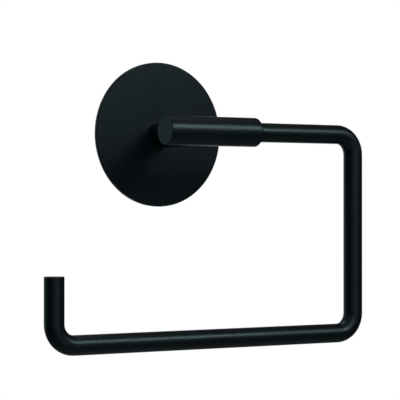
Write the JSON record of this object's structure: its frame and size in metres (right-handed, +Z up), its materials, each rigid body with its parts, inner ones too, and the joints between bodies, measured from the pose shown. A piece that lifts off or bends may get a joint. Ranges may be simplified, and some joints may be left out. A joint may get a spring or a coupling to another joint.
{
  "type": "toilet roll holder",
  "caption": "Wall-mounted toilet roll holder: a round stick-on plate and short post carry a cross sleeve and a bent round bar, open at the left so that a roll slides on.",
  "frame": {"origin": "middle of the face that sticks to the wall, the back of the adhesive pad", "axes": "+X to the right along the sleeve and the roll bar, +Y into the wall, +Z up"},
  "size_m": [0.152, 0.0495, 0.1189],
  "materials": {
    "black_coating": "satin to matt black coating with a faint cool cast, over steel",
    "foam_tape": "grey closed-cell foam with a tacky face",
    "plated_steel": "bright zinc plate",
    "black_oxide": "black oxide, slightly oily"
  },
  "bodies": {
    "root": {"adhesive_pad": "foam_tape", "wall_plate": "black_coating", "post": "black_coating", "sleeve": "black_coating", "roll_bar": "black_coating", "clamp_screw": "plated_steel", "grub_screw": "black_oxide"}
  },
  "joints": []
}
